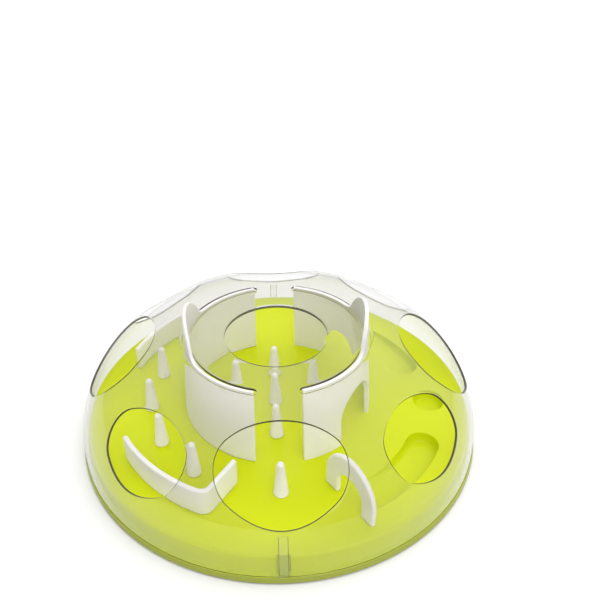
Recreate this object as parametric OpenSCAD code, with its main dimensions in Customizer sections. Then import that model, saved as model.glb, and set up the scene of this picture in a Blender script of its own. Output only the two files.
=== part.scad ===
// Puzzle feeder for cats: a round tray with pegs, barriers and troughs under a clear domed cover.
// Millimetres, +Z up, origin on the resting surface under the middle of the tray, front towards -Y.

/* [Tray] */
// Diameter of the tray across its rim
rim_d = 379; // [360:1:420]
// Height of the rim's edge
rim_h = 5; // [2.5:0.5:6]
// Height of the play floor above the underside of the rim
floor_h = 23.7; // [20:0.1:28]
// Wall thickness of the tray
tray_wall = 2.8; // [2.4:0.1:4]
// Radius that rounds the shoulder of the tray
shoulder_r = 3; // [2:0.5:8]

/* [Troughs] */
// Width of the food troughs and diameter of the food cup
trough_w = 29; // [20:0.5:32]
// Depth of the troughs at their deep ends, and of the cup
trough_depth = 9.5; // [6:0.5:12]
// Distance from the cover's skirt to the middle of the front trough and the cup
trough_inset = 41.5; // [39:0.5:46]
// Distance from the cover's skirt to the middle of the rear trough
rear_trough_inset = 50.5; // [40:0.5:54]
// Size of the slope round the bottom of the troughs and the cup
trough_chamfer = 4; // [2:0.5:5]

/* [Cover] */
// Height of the cover's top above the underside of the rim
cover_h = 98.2; // [94:0.1:110]
// Thickness of the snap tongues inside the skirt
tongue_t = 1.4; // [1:0.1:2]
// Wall thickness of the cover
cover_wall = 2.2; // [1.6:0.1:2.8]
// Width of the rim left showing outside the cover's skirt
rim_show = 1.5; // [0.5:0.1:5]
// Height of the skirt's upright part, below the dome's curve
skirt_h = 6.3; // [4:0.1:12]
// Radius of the round opening in the top
top_opening_r = 48.2; // [40:0.1:60]
// Width of the snap tongues inside the skirt
tongue_w = 7.6; // [6:0.2:14]
// Height of the snap tongues above the play floor
tongue_rise = 18; // [8:0.5:20]

/* [Side openings] */
// Length round the cover of the four large openings
large_opening_l = 104; // [80:1:112]
// Width of the large openings from the middle outwards, seen from above
large_opening_w = 65.5; // [45:0.5:66]
// Distance from the skirt to the middle of the large openings
large_opening_inset = 40.5; // [39:0.5:48]
// Length round the cover of the four small openings
small_opening_l = 87; // [70:1:92]
// Width of the small openings from the middle outwards, seen from above
small_opening_w = 46; // [36:0.5:48]
// Distance from the skirt to the middle of the small openings
small_opening_inset = 29; // [28:0.5:36]

/* [Wall panels] */
// Outer radius of the wall panels where they meet the floor
well_r = 89.4; // [84:0.2:96]
// How far the panels lean inwards between the floor and the cover's top
well_lean = 3.4; // [0:0.1:5]
// Thickness of the wall panels
panel_t = 3.4; // [3:0.1:5]
// Angle from the middle of a panel to its end
panel_half_angle = 76; // [68:0.5:80]
// Height of the panel's top edge above the cover
panel_show = 0.8; // [0:0.1:3]
// Height of an ear above the cover
ear_rise = 31; // [15:0.5:36]
// Radius of the round top of an ear
ear_r = 40; // [37:0.5:46]
// Radius that blends an ear into the panel's top edge
ear_blend_r = 12; // [6:0.5:16]
// Radius of the large archway, front right
front_arch_r = 25; // [20:0.5:30]
// Height of the large archway
front_arch_h = 51; // [45:0.5:63]
// Radius of the small archway, rear right
rear_arch_r = 21.5; // [15:0.5:23]
// Height of the small archway
rear_arch_h = 36.3; // [28:0.5:50]

/* [Pegs and barriers] */
// Height of a peg above the floor
peg_h = 34.5; // [25:0.5:40]
// Diameter of a peg at the floor
peg_base_d = 13; // [10:0.5:16]
// Diameter of a peg's round tip
peg_tip_d = 6.6; // [5:0.2:9]
// Distance from the middle peg of the well to the six round it
peg_ring_r = 44; // [36:0.5:46]
// Distance from the skirt to the outer pegs
outer_peg_inset = 66; // [62:0.5:68]
// Height of the barriers above the floor
barrier_h = 26; // [18:0.5:30]
// Thickness of the barriers and the gate
barrier_t = 4.4; // [3.6:0.1:5.4]
// Distance from the skirt to the outside of the corner barrier
barrier_inset = 31; // [29:0.5:36]
// Distance from the skirt to the outside of the rear barrier
rear_barrier_inset = 34; // [31:0.5:38]
// Length of the corner barrier's short arm
barrier_arm_l = 41; // [25:0.5:44]
// Width of the arch gate
gate_w = 59; // [52:0.5:60]
// Distance from the skirt to the inner foot of the arch gate
gate_inset = 71.5; // [69:0.5:75]
// Height of the arch gate
gate_h = 45.5; // [38:0.5:46]
// Width of the gate's inner leg
gate_leg_w = 15.5; // [9:0.5:17]
// Width of the gate's archway
gate_open_w = 29.5; // [20:0.5:31]
// Height of the gate's archway
gate_open_h = 27.5; // [20:0.5:30]

/* [Plugs and feet] */
// Depth that pegs, panels and barriers plug into the floor
plug_depth = 4; // [3:0.5:5]
// Diameter of the pegs' plugs
peg_plug_d = 6; // [4:0.5:8]
// Diameter of the barriers' plug pins
pin_d = 3.6; // [2.4:0.1:3.6]
// Length round the well of the panels' plug tabs
tab_l = 12; // [8:0.5:16]
// Diameter of a rubber foot
foot_d = 14; // [10:0.5:16]
// Height that the feet stand below the rim
foot_proud = 1.5; // [1:0.1:3]
// Depth of the feet in their posts
foot_sunk = 1.5; // [1:0.1:3]

/* [Hidden] */
$fn = 96;

// Clearances
skirt_clear = 3.3;    // tray wall to cover skirt
plug_clear = 0.3;     // each side of a plug in its socket
plug_floor_gap = 0.5; // under a plug
tongue_clear = 1.3;   // each side of a snap tongue in its notch
notch_depth = 1.6;    // of that notch in the tray's wall
slot_in_gap = 1.1;    // cover slot to the inner face of an ear's top, as the cover lifts past it
slot_out_gap = 1.1;   // cover slot to the outer face of a panel pulled up out of its sockets
slot_end_gap = 2.4;   // cover slot past the end of a panel
end_swell = 0.12;     // how far the round end of an opening swells past its flanks
cut = 1;              // how far a cutting shape runs past a face
overlap = 1;          // how far joined shapes run into each other

// Levels
rim_z = foot_proud;
ledge_z = rim_z + rim_h;
floor_z = rim_z + floor_h;
floor_under_z = floor_z - tray_wall;
cover_top_z = rim_z + cover_h;
panel_top_z = cover_top_z + panel_show;
ear_top_z = cover_top_z + ear_rise;

// Radii from the middle
rim_r = rim_d / 2;
skirt_r = rim_r - rim_show;
side_r = skirt_r - cover_wall - skirt_clear;
trough_r = skirt_r - trough_inset;
rear_trough_r = skirt_r - rear_trough_inset;
outer_peg_r = skirt_r - outer_peg_inset;
barrier_r = skirt_r - barrier_inset;
rear_barrier_r = skirt_r - rear_barrier_inset;

// The dome curves in one quarter circle from the skirt's upright part to the flat crown
dome_z = ledge_z + skirt_h;
dome_r = cover_top_z - dome_z;
crown_r = skirt_r - dome_r;

// Panel radius at a height
function panel_r(z) = well_r - well_lean * (z - floor_z) / (cover_top_z - floor_z);
function polar(r, a) = [r * cos(a), r * sin(a)];

// Troughs: angle of the deep round end, angle from there to the shallow end, radius of the middle
front_trough = [-29, -33, trough_r];
rear_trough = [18, 36, rear_trough_r];
cup_angle = -5;
trough_run_on = 3;                // how far the cutter runs on past the shallow end, degrees
trough_open_h = 3 * trough_depth; // height of the cutter over its bottom

// Side openings: the angles of each kind over half the cover, which repeat over the other half
large_opening_angles = [-2, 90];
small_opening_angles = [-43, 46.6];
oval_end_share = 0.72; // radius of an oval's round ends as a share of half its width

// Cover slots
slot_in_r = panel_r(ear_top_z) - panel_t - slot_in_gap;
slot_out_r = panel_r(cover_top_z - cover_wall - plug_depth) + slot_out_gap;
slot_w = slot_out_r - slot_in_r;
slot_mid_r = (slot_out_r + slot_in_r) / 2;

// Archways of the right panel
front_arch_angle = -35;
rear_arch_angle = 38.6;

// Panel tabs, from the middle of a panel
tab_angles = [-62, 4, 62];
tab_half_angle = tab_l / 2 / well_r * 180 / PI;
tab_step = 0.5;
tab_in_r = well_r - panel_t + tab_step;
tab_out_r = well_r - tab_step;

// Pegs: one in the middle of the well, six round it, then the outer lane
peg_foot_h = 1.5;
well_peg_middle = [-2, -9];
outer_peg_first = -127.5;
outer_peg_step = -23.5;
outer_peg_angles = concat([-90], [for (i = [0:3]) outer_peg_first + i * outer_peg_step]);
peg_places = concat(
    [well_peg_middle],
    [for (i = [0:5]) well_peg_middle + polar(peg_ring_r, -90 + 60 * i)],
    [for (a = outer_peg_angles) polar(outer_peg_r, a)]
);

// Corner barrier: arc from its free end to its corner, then the short arm
corner_start = -150.5;
corner_end = -113;
corner_mid_r = barrier_r - barrier_t / 2;
corner_place = polar(corner_mid_r, corner_end);
corner_post_d = barrier_t + 1.6;
arm_angle = 56.5;
pin_inset = 12; // from a barrier's end to its pin
pin_inset_angle = pin_inset / barrier_r * 180 / PI;
corner_pins = concat(
    [for (a = [corner_start + pin_inset_angle, corner_end - 2 * pin_inset_angle]) polar(corner_mid_r, a)],
    [corner_place + polar(barrier_arm_l - pin_inset, arm_angle)]
);

// Rear barrier: plain arc
rear_start = 126;
rear_end = 161;
rear_mid_r = rear_barrier_r - barrier_t / 2;
rear_pins = [for (a = [rear_start + pin_inset_angle, rear_end - pin_inset_angle]) polar(rear_mid_r, a)];

// Arch gate: its inner foot and the way it runs
gate_start = -71;
gate_angle = -57.5;
gate_place = polar(skirt_r - gate_inset, gate_start);
gate_round = gate_w / 2;
gate_spring = gate_h - gate_round;
gate_outer_leg = gate_leg_w + gate_open_w;
gate_pins = [for (u = [gate_leg_w / 2, (gate_outer_leg + gate_w) / 2])
    gate_place + polar(u, gate_angle) + polar(barrier_t / 2, gate_angle + 90)];

// Pins of both barriers and the gate
all_pins = concat(corner_pins, rear_pins, gate_pins);

// Feet and the posts that hold them
foot_count = 6;
foot_first = -60;
foot_wall = 2;
foot_r = side_r - tray_wall - foot_d / 2 - foot_wall + overlap;
foot_places = [for (i = [0:foot_count - 1]) polar(foot_r, foot_first + i * 360 / foot_count)];

// Socket bosses under the floor
boss_wall = 2;
socket_depth = plug_depth + plug_floor_gap;
boss_z = floor_z - socket_depth - boss_wall;

tray_green = [0.80, 0.87, 0.10];
part_white = [0.90, 0.90, 0.86];
clear_tint = [0.90, 0.94, 0.92, 0.35];
rubber_grey = [0.25, 0.25, 0.25];

// A ring sector of rectangular section
module sector(in_r, out_r, low_z, high_z, from, to) {
    rotate([0, 0, from])
        rotate_extrude(angle = to - from)
            translate([in_r, low_z])
                square([out_r - in_r, high_z - low_z]);
}

// An oval of four arcs, with its long axis along Y
module oval(length, width) {
    end_r = oval_end_share * width / 2;
    reach = length / 2 - end_r;
    flank_r = (reach * reach + width * width / 4 - end_r * end_r) / (width - 2 * end_r);
    flank_x = flank_r - width / 2;
    touch_y = reach + end_r * reach / (flank_r - end_r);
    for (s = [-1, 1])
        translate([0, s * reach])
            circle(r = end_r + end_swell);
    intersection() {
        translate([-flank_x, 0])
            circle(r = flank_r);
        translate([flank_x, 0])
            circle(r = flank_r);
        translate([-width / 2, -touch_y])
            square([width, 2 * touch_y]);
    }
}

// Half section of the tray's outside
module tray_section() {
    round_x = side_r - shoulder_r;
    round_z = floor_z - shoulder_r;
    translate([0, rim_z])
        square([side_r, round_z - rim_z]);
    translate([0, rim_z])
        square([round_x, floor_z - rim_z]);
    translate([round_x, round_z])
        circle(r = shoulder_r);
    translate([0, rim_z])
        square([rim_r, rim_h]);
}

// A trough's space: it deepens from nothing at its shallow end to its deep round end.
// A trough that runs clockwise is the mirror image of one that runs the other way.
module trough_space(run, grow) {
    clockwise = run[1] < 0;
    deep = clockwise ? -run[0] : run[0];
    sweep = abs(run[1]);
    mid_r = run[2];
    tilt = asin(trough_depth / (mid_r * sin(sweep)));
    mirror([0, clockwise ? 1 : 0, 0])
        translate([0, 0, floor_z])
            rotate([0, 0, deep + sweep])
                rotate([tilt, 0, 0])
                    rotate([0, 0, -sweep]) {
                        rotate_extrude(angle = sweep + trough_run_on)
                            translate([mid_r, 0])
                                trough_section(grow);
                        translate([mid_r, 0, 0])
                            rotate([0, 0, 180])
                                rotate_extrude(angle = 180)
                                    half_trough_section(grow);
                    }
}

// Section of a trough across its run, standing on its bottom
module trough_section(grow) {
    half_w = trough_w / 2 + grow;
    flat_w = half_w - trough_chamfer;
    top = trough_open_h;
    polygon([
        [-flat_w, -grow], [flat_w, -grow], [half_w, trough_chamfer - grow],
        [half_w, top], [-half_w, top], [-half_w, trough_chamfer - grow]
    ]);
}

// The outer half of that section
module half_trough_section(grow) {
    intersection() {
        trough_section(grow);
        translate([0, -grow])
            square([trough_w / 2 + grow, trough_open_h + grow]);
    }
}

// The round food cup's space
module cup_space(grow) {
    rotate([0, 0, cup_angle])
        translate([trough_r, 0, floor_z - trough_depth])
            rotate_extrude()
                half_trough_section(grow);
}

// Everything sunk into the floor, or with grow set, the walls round it
module floor_hollows(grow) {
    trough_space(front_trough, grow);
    trough_space(rear_trough, grow);
    cup_space(grow);
}

// Upright cylinders at a list of places
module posts(places, d, low_z, high_z) {
    for (p = places)
        translate([p[0], p[1], low_z])
            cylinder(d = d, h = high_z - low_z);
}

// Sectors at the plug tabs of both panels
module tab_sectors(side_gap, low_z, high_z) {
    gap_angle = side_gap / well_r * 180 / PI;
    for (turn = [0, 180], a = tab_angles)
        sector(tab_in_r - side_gap, tab_out_r + side_gap, low_z, high_z,
            turn + a - tab_half_angle - gap_angle, turn + a + tab_half_angle + gap_angle);
}

module base_tray() {
    color(tray_green)
    difference() {
        union() {
            difference() {
                rotate_extrude()
                    tray_section();
                translate([0, 0, rim_z - cut])
                    cylinder(r = side_r - tray_wall, h = floor_under_z - rim_z + cut);
            }
            intersection() {
                floor_hollows(tray_wall);
                translate([0, 0, rim_z])
                    cylinder(r = side_r - tray_wall / 2, h = floor_under_z + overlap - rim_z);
            }
            posts(peg_places, peg_plug_d + 2 * (plug_clear + boss_wall), boss_z, floor_under_z + overlap);
            posts(all_pins, pin_d + 2 * (plug_clear + boss_wall), boss_z, floor_under_z + overlap);
            tab_sectors(plug_clear + boss_wall, boss_z, floor_under_z + overlap);
            posts(foot_places, foot_d + 2 * foot_wall, rim_z, floor_under_z + overlap);
        }
        floor_hollows(0);
        posts(peg_places, peg_plug_d + 2 * plug_clear, floor_z - socket_depth, floor_z + cut);
        posts(all_pins, pin_d + 2 * plug_clear, floor_z - socket_depth, floor_z + cut);
        tab_sectors(plug_clear, floor_z - socket_depth, floor_z + cut);
        posts(foot_places, foot_d + 2 * plug_clear, rim_z - cut, rim_z + foot_sunk);
        tongue_notches();
    }
}

// Half section of the cover's outside, or of its inside with inset set to the wall
module cover_section(inset) {
    curve_r = dome_r - inset;
    polygon([
        [0, ledge_z], [crown_r + curve_r, ledge_z], [crown_r + curve_r, dome_z],
        [crown_r, dome_z], [crown_r, dome_z + curve_r], [0, dome_z + curve_r]
    ]);
    translate([crown_r, dome_z])
        intersection() {
            circle(r = curve_r, $fn = 180);
            square(curve_r);
        }
}

// Snap tongues at the front and rear, inside the skirt
module tongues() {
    intersection() {
        rotate_extrude()
            difference() {
                cover_section(cover_wall / 2);
                cover_section(cover_wall + tongue_t);
            }
        translate([-tongue_w / 2, -rim_r, ledge_z])
            cube([tongue_w, rim_d, floor_z + tongue_rise - ledge_z]);
    }
}

// Room for the tongues in the tray's wall
module tongue_notches() {
    notch_w = tongue_w + 2 * tongue_clear;
    notch_r = side_r - notch_depth;
    for (turn = [0, 180])
        rotate([0, 0, turn])
            translate([-notch_w / 2, -rim_r, ledge_z])
                cube([notch_w, rim_r - notch_r, floor_z]);
}

// Upright cutter for an oval opening in the dome
module side_opening(length, width, inset, angle) {
    rotate([0, 0, angle])
        translate([skirt_r - inset, 0, floor_z])
            linear_extrude(height = cover_h)
                oval(length, width);
}

// Arc slot for a wall panel, with round ends
module panel_slot() {
    end_angle = panel_half_angle + (slot_end_gap - slot_w / 2) / slot_mid_r * 180 / PI;
    low_z = cover_top_z - dome_r / 2;
    high_z = cover_top_z + cut;
    sector(slot_in_r, slot_out_r, low_z, high_z, -end_angle, end_angle);
    end_d = slot_w + 2 * end_swell;
    posts([for (s = [-1, 1]) polar(slot_mid_r, s * end_angle)], end_d, low_z, high_z);
}

module clear_cover() {
    color(clear_tint)
    difference() {
        union() {
            rotate_extrude()
                difference() {
                    cover_section(0);
                    translate([0, -cut])
                        square([skirt_r - cover_wall, ledge_z + 2 * cut]);
                    cover_section(cover_wall);
                }
            tongues();
        }
        translate([0, 0, floor_z])
            cylinder(r = top_opening_r, h = cover_h);
        for (turn = [0, 180], a = large_opening_angles)
            side_opening(large_opening_l, large_opening_w, large_opening_inset, turn + a);
        for (turn = [0, 180], a = small_opening_angles)
            side_opening(small_opening_l, small_opening_w, small_opening_inset, turn + a);
        for (turn = [0, 180])
            rotate([0, 0, turn])
                panel_slot();
    }
}

// Outline of a panel seen from the side: its height and its ear, blended at both sides
module panel_outline() {
    ear_z = ear_top_z - ear_r;
    blend_z = panel_top_z + ear_blend_r;
    blend_y = sqrt(pow(ear_r + ear_blend_r, 2) - pow(blend_z - ear_z, 2));
    touch = [0, ear_z] + ear_r / (ear_r + ear_blend_r) * [blend_y, blend_z - ear_z];
    translate([-rim_r, floor_z])
        square([rim_d, panel_top_z - floor_z]);
    intersection() {
        translate([0, ear_z])
            circle(r = ear_r);
        translate([-ear_r, floor_z])
            square([2 * ear_r, ear_top_z - floor_z]);
    }
    for (s = [0, 1])
        mirror([s, 0])
            difference() {
                polygon([
                    [0, panel_top_z - overlap], [blend_y, panel_top_z - overlap],
                    [blend_y, blend_z], touch, [0, ear_z + ear_r / 2]
                ]);
                translate([blend_y, blend_z])
                    circle(r = ear_blend_r);
            }
}

// A leaning curved panel with its ear and plug tabs
module wall_panel() {
    low_r = panel_r(floor_z);
    high_r = panel_r(ear_top_z);
    intersection() {
        rotate([0, 0, -panel_half_angle])
            rotate_extrude(angle = 2 * panel_half_angle)
                polygon([
                    [low_r - panel_t, floor_z], [low_r, floor_z],
                    [high_r, ear_top_z], [high_r - panel_t, ear_top_z]
                ]);
        rotate([90, 0, 90])
            linear_extrude(height = rim_r)
                panel_outline();
    }
    for (a = tab_angles)
        sector(tab_in_r, tab_out_r, floor_z - plug_depth, floor_z + overlap,
            a - tab_half_angle, a + tab_half_angle);
}

// Cutter for an archway with a half-round top
module archway(angle, arch_r, arch_h) {
    rotate([0, 0, angle])
        translate([well_r / 2, 0, floor_z - cut]) {
            translate([0, 0, arch_h - arch_r + cut])
                rotate([0, 90, 0])
                    cylinder(r = arch_r, h = well_r);
            translate([0, -arch_r, 0])
                cube([well_r, 2 * arch_r, arch_h - arch_r + cut]);
        }
}

module left_wall_panel() {
    color(part_white)
        rotate([0, 0, 180])
            wall_panel();
}

module right_wall_panel() {
    color(part_white)
    difference() {
        wall_panel();
        archway(front_arch_angle, front_arch_r, front_arch_h);
        archway(rear_arch_angle, rear_arch_r, rear_arch_h);
    }
}

// Plan of a curved barrier
module arc_plan(in_r, out_r, from, to) {
    far = 2 * out_r;
    intersection() {
        difference() {
            circle(r = out_r);
            circle(r = in_r);
        }
        polygon([[0, 0], polar(far, from), polar(far, (from + to) / 2), polar(far, to)]);
    }
}

module corner_barrier() {
    color(part_white) {
        translate([0, 0, floor_z])
            linear_extrude(height = barrier_h) {
                arc_plan(barrier_r - barrier_t, barrier_r, corner_start, corner_end);
                translate(corner_place) {
                    circle(d = corner_post_d);
                    rotate(arm_angle)
                        translate([0, -barrier_t / 2])
                            square([barrier_arm_l, barrier_t]);
                }
            }
        posts(corner_pins, pin_d, floor_z - plug_depth, floor_z + overlap);
    }
}

module rear_barrier() {
    color(part_white) {
        sector(rear_barrier_r - barrier_t, rear_barrier_r, floor_z, floor_z + barrier_h, rear_start, rear_end);
        posts(rear_pins, pin_d, floor_z - plug_depth, floor_z + overlap);
    }
}

// Outline of the arch gate, from its inner foot
module gate_outline() {
    difference() {
        union() {
            translate([gate_round, gate_spring])
                circle(r = gate_round);
            square([gate_w, gate_spring]);
        }
        translate([0, -gate_w])
            square([gate_w, gate_w]);
        translate([gate_leg_w + gate_open_w / 2, gate_open_h - gate_open_w / 2])
            circle(d = gate_open_w);
        translate([gate_leg_w, -cut])
            square([gate_open_w, gate_open_h - gate_open_w / 2 + cut]);
    }
}

module arch_gate() {
    color(part_white) {
        translate([gate_place[0], gate_place[1], floor_z])
            rotate([0, 0, gate_angle])
                translate([0, barrier_t, 0])
                    rotate([90, 0, 0])
                        linear_extrude(height = barrier_t)
                            gate_outline();
        posts(gate_pins, pin_d, floor_z - plug_depth, floor_z + overlap);
    }
}

// A tapered peg with a round tip and a plug below
module peg(place) {
    tip_r = peg_tip_d / 2;
    color(part_white)
    translate([place[0], place[1], floor_z]) {
        rotate_extrude() {
            polygon([
                [0, 0], [peg_base_d / 2, 0], [peg_base_d / 2, peg_foot_h],
                [tip_r, peg_h - tip_r], [0, peg_h - tip_r]
            ]);
            translate([0, peg_h - tip_r])
                intersection() {
                    circle(r = tip_r);
                    square([tip_r, tip_r]);
                }
        }
        translate([0, 0, -plug_depth])
            cylinder(d = peg_plug_d, h = plug_depth + overlap);
    }
}

module foot(place) {
    color(rubber_grey)
    translate([place[0], place[1], 0])
        cylinder(d = foot_d, h = foot_proud + foot_sunk);
}

base_tray();
clear_cover();
left_wall_panel();
right_wall_panel();
corner_barrier();
rear_barrier();
arch_gate();
for (i = [1:len(peg_places)])
    peg(peg_places[i - 1]);
for (i = [1:foot_count])
    foot(foot_places[i - 1]);
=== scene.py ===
# %% [markdown]
# The feeder is a round green tray under a clear dome, with white plug-in pieces between them.
# Every piece below is worked out in millimetres, in the same frame as the solid model: +Z up, the
# origin on the ground under the middle of the tray, and the front towards -Y. Loading the packed
# model first gives the solid parts that the visible pieces replace; each piece rides on an empty
# named for its moving body.

# %% Frame and shared sizes
import math
import bmesh
import bpy
import numpy as np
from mathutils import Matrix, Vector
from mathutils.geometry import delaunay_2d_cdt


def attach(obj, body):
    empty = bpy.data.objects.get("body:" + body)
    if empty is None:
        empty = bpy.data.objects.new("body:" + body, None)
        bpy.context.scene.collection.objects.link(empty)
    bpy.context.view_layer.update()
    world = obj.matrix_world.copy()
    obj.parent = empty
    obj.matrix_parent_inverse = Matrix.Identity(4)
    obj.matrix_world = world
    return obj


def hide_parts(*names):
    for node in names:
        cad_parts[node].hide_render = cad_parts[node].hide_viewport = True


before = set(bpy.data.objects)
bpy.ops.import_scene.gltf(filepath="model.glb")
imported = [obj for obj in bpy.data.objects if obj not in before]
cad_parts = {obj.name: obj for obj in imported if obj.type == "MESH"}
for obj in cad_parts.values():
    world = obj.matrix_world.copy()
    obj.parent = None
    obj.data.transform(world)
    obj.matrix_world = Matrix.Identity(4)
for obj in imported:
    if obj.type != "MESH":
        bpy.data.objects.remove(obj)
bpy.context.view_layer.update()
MM = 0.001
RIM_Z, LEDGE_Z, FLOOR_Z = 1.5, 6.5, 25.2
RIM_R, SKIRT_R, SIDE_R = 189.4, 188.0, 182.5

# %% [markdown]
# The camera stands where the photograph was taken: about 0.7 m away, looking 30 degrees down.
# Its three axes are written out as vectors, because a small roll is easier to read that way than
# as three angles. The lens and the shift place the object in the frame as in the photograph.

# %% Camera
CAMERA_AT = (-4.2, -519.9, 469.1)
pitch, roll = 0.521, -0.030
ahead = np.array([0, math.cos(pitch), -math.sin(pitch)])
level_up = np.array([0, math.sin(pitch), math.cos(pitch)])
level_right = np.array([1.0, 0, 0])
right = math.cos(roll) * level_right + math.sin(roll) * level_up
up = -math.sin(roll) * level_right + math.cos(roll) * level_up
camera_data = bpy.data.cameras.new("camera")
camera_data.lens, camera_data.sensor_width = 40.8, 36
camera_data.shift_x, camera_data.shift_y = 0.051, -0.0527
camera = bpy.data.objects.new("camera", camera_data)
axes = np.eye(4)
axes[:3, 0], axes[:3, 1], axes[:3, 2] = right, up, -ahead
axes[:3, 3] = np.array(CAMERA_AT) * MM
camera.matrix_world = Matrix(axes.tolist())
bpy.context.collection.objects.link(camera)
bpy.context.scene.camera = camera
print("camera at", [round(v, 3) for v in camera.location])

# %% [markdown]
# The floor, the sky and every finish are made of shader nodes. Adding nodes, filling in their
# sockets and linking them come up again and again, so each gets a small helper. A Mix node has
# sockets of one name for numbers and for colours. The name finds the one for numbers, so those for
# colours are picked by their place in the row.

# %% Node helpers
MIX_SHARE, MIX_FROM, MIX_TO, MIX_COLOUR = 0, 6, 7, 2


def add_nodes(tree, *kinds):
    """New shader nodes of the named kinds, in order."""
    return [tree.nodes.new("ShaderNode" + kind) for kind in kinds]


def set_inputs(node, values):
    """Fills a node's input sockets from a table of names, or numbers, and values."""
    for name, value in values.items():
        node.inputs[name].default_value = value


def link_all(tree, *pairs):
    """Links each pair of an output socket and an input socket."""
    for source, target in pairs:
        tree.links.new(source, target)


print("colour sockets of a Mix node:", MIX_FROM, MIX_TO, MIX_COLOUR)

# %% [markdown]
# A studio sweep is a wide white floor under very soft light. A curved backdrop would do the same,
# but a plain sheet that reaches far past the frame is simpler, and it needs no light of its own.

# %% Studio floor
FLOOR_REACH = 9
floor_mesh = bpy.data.meshes.new("studio_floor")
floor_corners = FLOOR_REACH * np.array([(-1, -1, 0), (1, -1, 0), (1, 1, 0), (-1, 1, 0)])
floor_mesh.from_pydata(floor_corners.tolist(), [], [(0, 1, 2, 3)])
studio_floor = bpy.data.objects.new("studio_floor", floor_mesh)
bpy.context.collection.objects.link(studio_floor)
floor_paint = bpy.data.materials.new("floor_paint")
floor_paint.use_nodes = True
set_inputs(floor_paint.node_tree.nodes["Principled BSDF"],
           {"Base Color": (0.98, 0.98, 0.98, 1), "Roughness": 0.9})
floor_mesh.materials.append(floor_paint)
print("floor:", 2 * FLOOR_REACH, "m wide")

# %% [markdown]
# The main light is the sky itself: dim at the horizon and brightest overhead, a little to the rear
# right, so upright faces are darker than level ones and no lamp has a hard edge to be mirrored in
# the dome. Where the sky is seen, straight or through the clear cover, it is plain white, so that
# no horizon shows. The plain Standard view keeps the lime green as strong as on the real plastic.

# %% Sky
KEY_WAY = (0.22, 0.22, 0.95)
SKY_DIM, SKY_BRIGHT, SKY_SEEN = 0.33, 1.48, 1.0
world = bpy.data.worlds.new("studio_world")
world.use_nodes = True
sky = world.node_tree
backdrop = sky.nodes["Background"]
direction, towards_key, glow, ray, seen, strength = add_nodes(
    sky, "TexCoord", "VectorMath", "MapRange", "LightPath", "Math", "Mix")
towards_key.operation, seen.operation = "DOT_PRODUCT", "MAXIMUM"
glow.interpolation_type = "SMOOTHSTEP"
set_inputs(towards_key, {1: KEY_WAY})
set_inputs(glow, {"From Min": 0.1, "From Max": 1.0, "To Min": SKY_DIM, "To Max": SKY_BRIGHT})
set_inputs(strength, {"B": SKY_SEEN})
set_inputs(backdrop, {"Color": (1, 1, 1, 1)})
link_all(sky, (direction.outputs["Generated"], towards_key.inputs[0]),
         (towards_key.outputs["Value"], glow.inputs["Value"]),
         (ray.outputs["Is Camera Ray"], seen.inputs[0]),
         (ray.outputs["Is Transmission Ray"], seen.inputs[1]),
         (seen.outputs["Value"], strength.inputs["Factor"]),
         (glow.outputs["Result"], strength.inputs["A"]),
         (strength.outputs["Result"], backdrop.inputs["Strength"]))
bpy.context.scene.world = world
bpy.context.scene.view_settings.view_transform = "Standard"
print("sky strength:", SKY_DIM, "to", SKY_BRIGHT)

# %% [markdown]
# Sky alone leaves round edges flat. Two small panels, one in front and one overhead, add a soft
# glint to them. An area light shines along its own -Z, so its axes are built from the line that
# leads from the feeder to the panel.

# %% Soft panels
LIGHT_AIM = (0, 0, 0.05)


def soft_panel(name, place, size, power):
    """A square area light at a place in metres, turned so that its face looks at the aim point."""
    data = bpy.data.lights.new(name, "AREA")
    data.size, data.energy = size, power
    light = bpy.data.objects.new(name, data)
    away = np.array(place) - np.array(LIGHT_AIM)
    away = away / np.linalg.norm(away)
    side = np.cross([0, 1, 0], away)
    side = side / np.linalg.norm(side)
    turn = np.eye(4)
    turn[:3, 0], turn[:3, 1], turn[:3, 2], turn[:3, 3] = side, np.cross(away, side), away, place
    light.matrix_world = Matrix(turn.tolist())
    bpy.context.collection.objects.link(light)


soft_panel("front_panel", (0.45, -1.45, 1.0), 0.9, 4.5)
soft_panel("overhead_panel", (0.1, -0.4, 1.6), 0.5, 2.6)

# %% [markdown]
# Moulded plastic is never one flat colour. It has a faint cloudiness from the flow of the melt,
# and a very fine grain from the mould's surface that breaks up the gloss. All the opaque finishes
# share this, so it is a node group: colours and a range of gloss go in, and a varied colour, a
# roughness and a height for a Bump node come out.

# %% Shared moulded skin
SKIN_SOCKETS = [("Colour", "Color", "INPUT"), ("Deep colour", "Color", "INPUT"),
                ("Gloss low", "Float", "INPUT"), ("Gloss high", "Float", "INPUT"),
                ("Colour", "Color", "OUTPUT"), ("Roughness", "Float", "OUTPUT"),
                ("Height", "Float", "OUTPUT")]


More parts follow.
